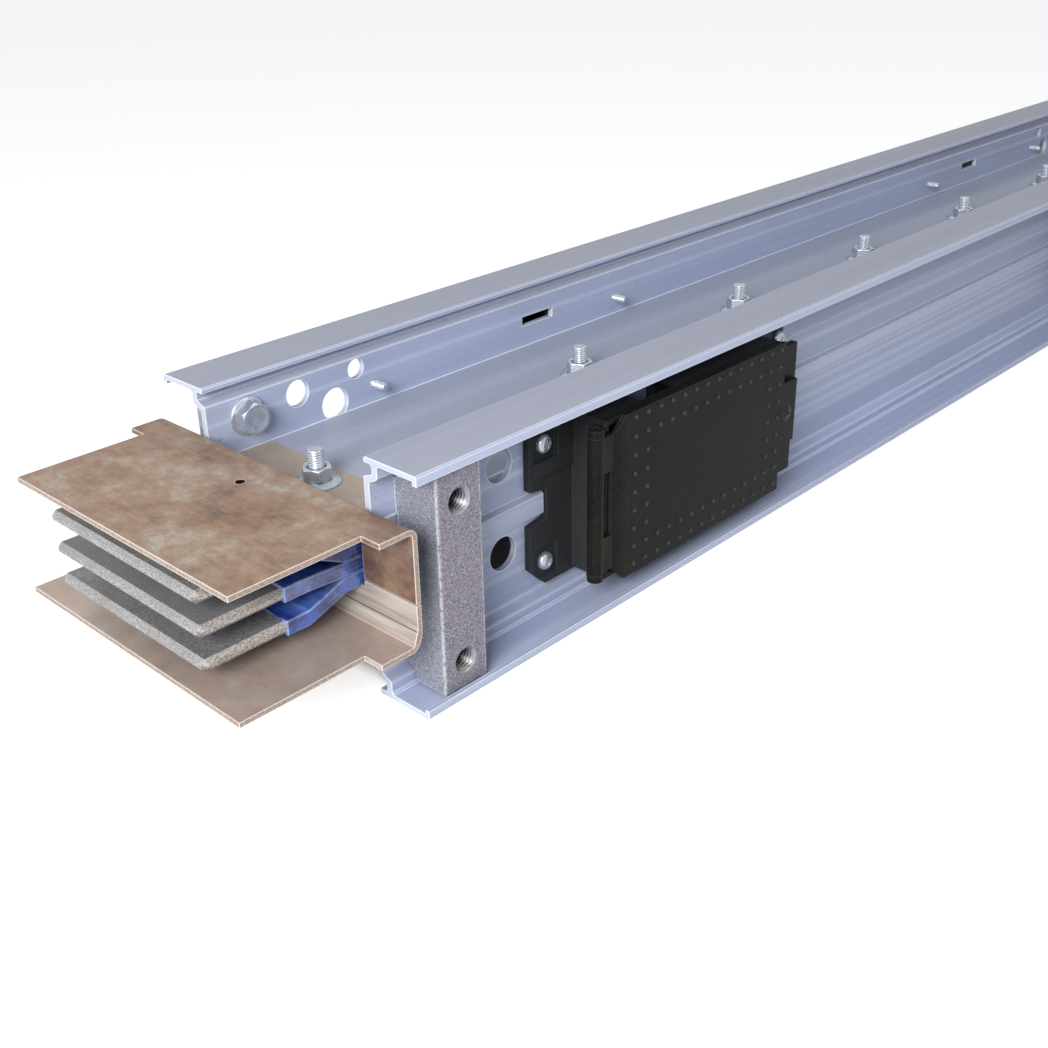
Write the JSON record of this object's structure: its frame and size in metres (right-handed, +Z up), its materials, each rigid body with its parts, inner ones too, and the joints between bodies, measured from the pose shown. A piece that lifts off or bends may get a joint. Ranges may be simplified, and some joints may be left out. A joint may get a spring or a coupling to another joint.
{
  "type": "busway section",
  "caption": "Straight sandwich busway section with extruded side rails, insulated flat busbars, open joint ends, threaded end blocks and hinged plug-in outlets.",
  "frame": {"origin": "middle of the section, on the level of the rails' bottom flanges", "axes": "+X along the busway, +Z up from the bottom flanges to the bolt row side, -Y towards the front rail"},
  "size_m": [1.19, 0.18, 0.117],
  "materials": {
    "rail_paint": "satin blue-grey paint on extruded aluminium",
    "cover_sheet": "mottled tan conversion coating, painted between the rails",
    "plated_bar": "grey tin plating",
    "blue_insulation": "glossy deep blue epoxy",
    "cast_metal": "rough as cast",
    "black_plastic": "satin black moulding",
    "zinc_steel": "bright zinc",
    "dark_steel": "blackened"
  },
  "bodies": {
    "housing": {"front_rail": "rail_paint", "rear_rail": "rail_paint", "top_cover": "cover_sheet", "bottom_cover": "cover_sheet", "busbar_1": "plated_bar", "insulation_1": "blue_insulation", "busbar_2": "plated_bar", "insulation_2": "blue_insulation", "busbar_3": "plated_bar", "insulation_3": "blue_insulation", "end_block_1": "cast_metal", "block_bolts_1": "zinc_steel", "outlet_base_1": "black_plastic", "outlet_screws_1": "zinc_steel", "end_block_2": "cast_metal", "block_bolts_2": "zinc_steel", "outlet_base_2": "black_plastic", "outlet_screws_2": "zinc_steel", "end_block_3": "cast_metal", "block_bolts_3": "zinc_steel", "outlet_base_3": "black_plastic", "outlet_screws_3": "zinc_steel", "end_block_4": "cast_metal", "block_bolts_4": "zinc_steel", "outlet_base_4": "black_plastic", "outlet_screws_4": "zinc_steel", "clamp_bolt_1": "zinc_steel", "clamp_nut_1": "zinc_steel", "clamp_washer_1": "zinc_steel", "clamp_bolt_2": "zinc_steel", "clamp_nut_2": "zinc_steel", "clamp_washer_2": "zinc_steel", "clamp_bolt_3": "zinc_steel", "clamp_nut_3": "zinc_steel", "clamp_washer_3": "zinc_steel", "clamp_bolt_4": "zinc_steel", "clamp_nut_4": "zinc_steel", "clamp_washer_4": "zinc_steel", "clamp_bolt_5": "zinc_steel", "clamp_nut_5": "zinc_steel", "clamp_washer_5": "zinc_steel", "clamp_bolt_6": "zinc_steel", "clamp_nut_6": "zinc_steel", "clamp_washer_6": "zinc_steel", "clamp_bolt_7": "zinc_steel", "clamp_nut_7": "zinc_steel", "clamp_washer_7": "zinc_steel"},
    "door_1": {"outlet_door_1": "black_plastic", "door_screw_1": "dark_steel"},
    "door_2": {"outlet_door_2": "black_plastic", "door_screw_2": "dark_steel"},
    "door_3": {"outlet_door_3": "black_plastic", "door_screw_3": "dark_steel"},
    "door_4": {"outlet_door_4": "black_plastic", "door_screw_4": "dark_steel"}
  },
  "joints": [
    {"name": "door_hinge_1", "type": "hinge", "parent": "housing", "child": "door_1", "pos_m": [-0.3908, -0.0845, 0.0585], "axis": [0, 0, -1], "range_deg": [0, 135]},
    {"name": "door_hinge_2", "type": "hinge", "parent": "housing", "child": "door_2", "pos_m": [0.2188, -0.0845, 0.0585], "axis": [0, 0, -1], "range_deg": [0, 135]},
    {"name": "door_hinge_3", "type": "hinge", "parent": "housing", "child": "door_3", "pos_m": [-0.2188, 0.0845, 0.0585], "axis": [0, 0, -1], "range_deg": [0, 135]},
    {"name": "door_hinge_4", "type": "hinge", "parent": "housing", "child": "door_4", "pos_m": [0.3908, 0.0845, 0.0585], "axis": [0, 0, -1], "range_deg": [0, 135]}
  ]
}
